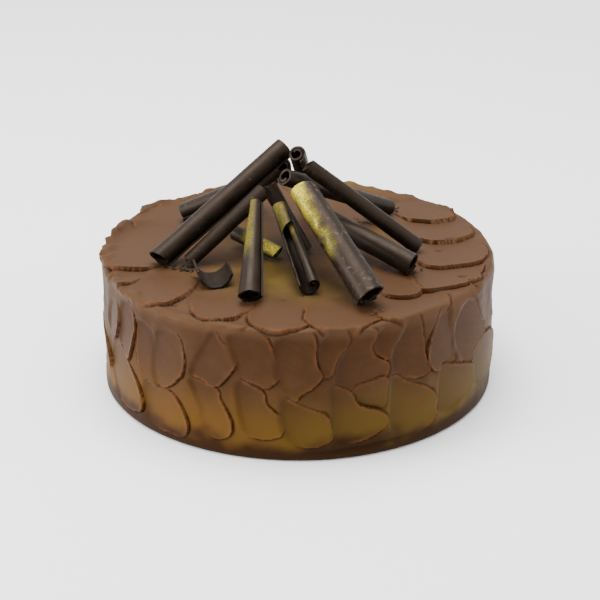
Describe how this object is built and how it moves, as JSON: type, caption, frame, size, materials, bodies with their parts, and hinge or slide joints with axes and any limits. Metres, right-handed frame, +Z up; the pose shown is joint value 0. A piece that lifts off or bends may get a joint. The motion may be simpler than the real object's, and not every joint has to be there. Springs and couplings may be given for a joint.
{
  "type": "chocolate cake",
  "caption": "Round cake under knife-worked chocolate frosting, topped with a leaning pile of rolled dark chocolate curls; rests on its flat underside.",
  "frame": {"origin": "centre of the cake's flat underside", "axes": "+Z up, -Y towards the front as seen in the picture, +X to the right; metres"},
  "size_m": [0.2094, 0.209, 0.1246],
  "materials": {
    "frosting": "soft satin chocolate buttercream spread with a palette knife, with raised lips and faint strokes",
    "dark_chocolate": "dark chocolate with a low sheen, a grey bloom and gold lustre dust on some sides"
  },
  "bodies": {
    "root": {"cake": "frosting", "curl_left_large": "dark_chocolate", "curl_left_slim": "dark_chocolate", "curl_front_tapered": "dark_chocolate", "curl_front_split": "dark_chocolate", "curl_front_large": "dark_chocolate", "curl_right_front": "dark_chocolate", "curl_right_long": "dark_chocolate", "curl_right_back": "dark_chocolate", "curl_centre_upright": "dark_chocolate", "curl_left_back": "dark_chocolate", "curl_back_upright": "dark_chocolate", "curl_inner_left": "dark_chocolate", "curl_back_left": "dark_chocolate", "curl_open_scoop": "dark_chocolate"}
  },
  "joints": []
}
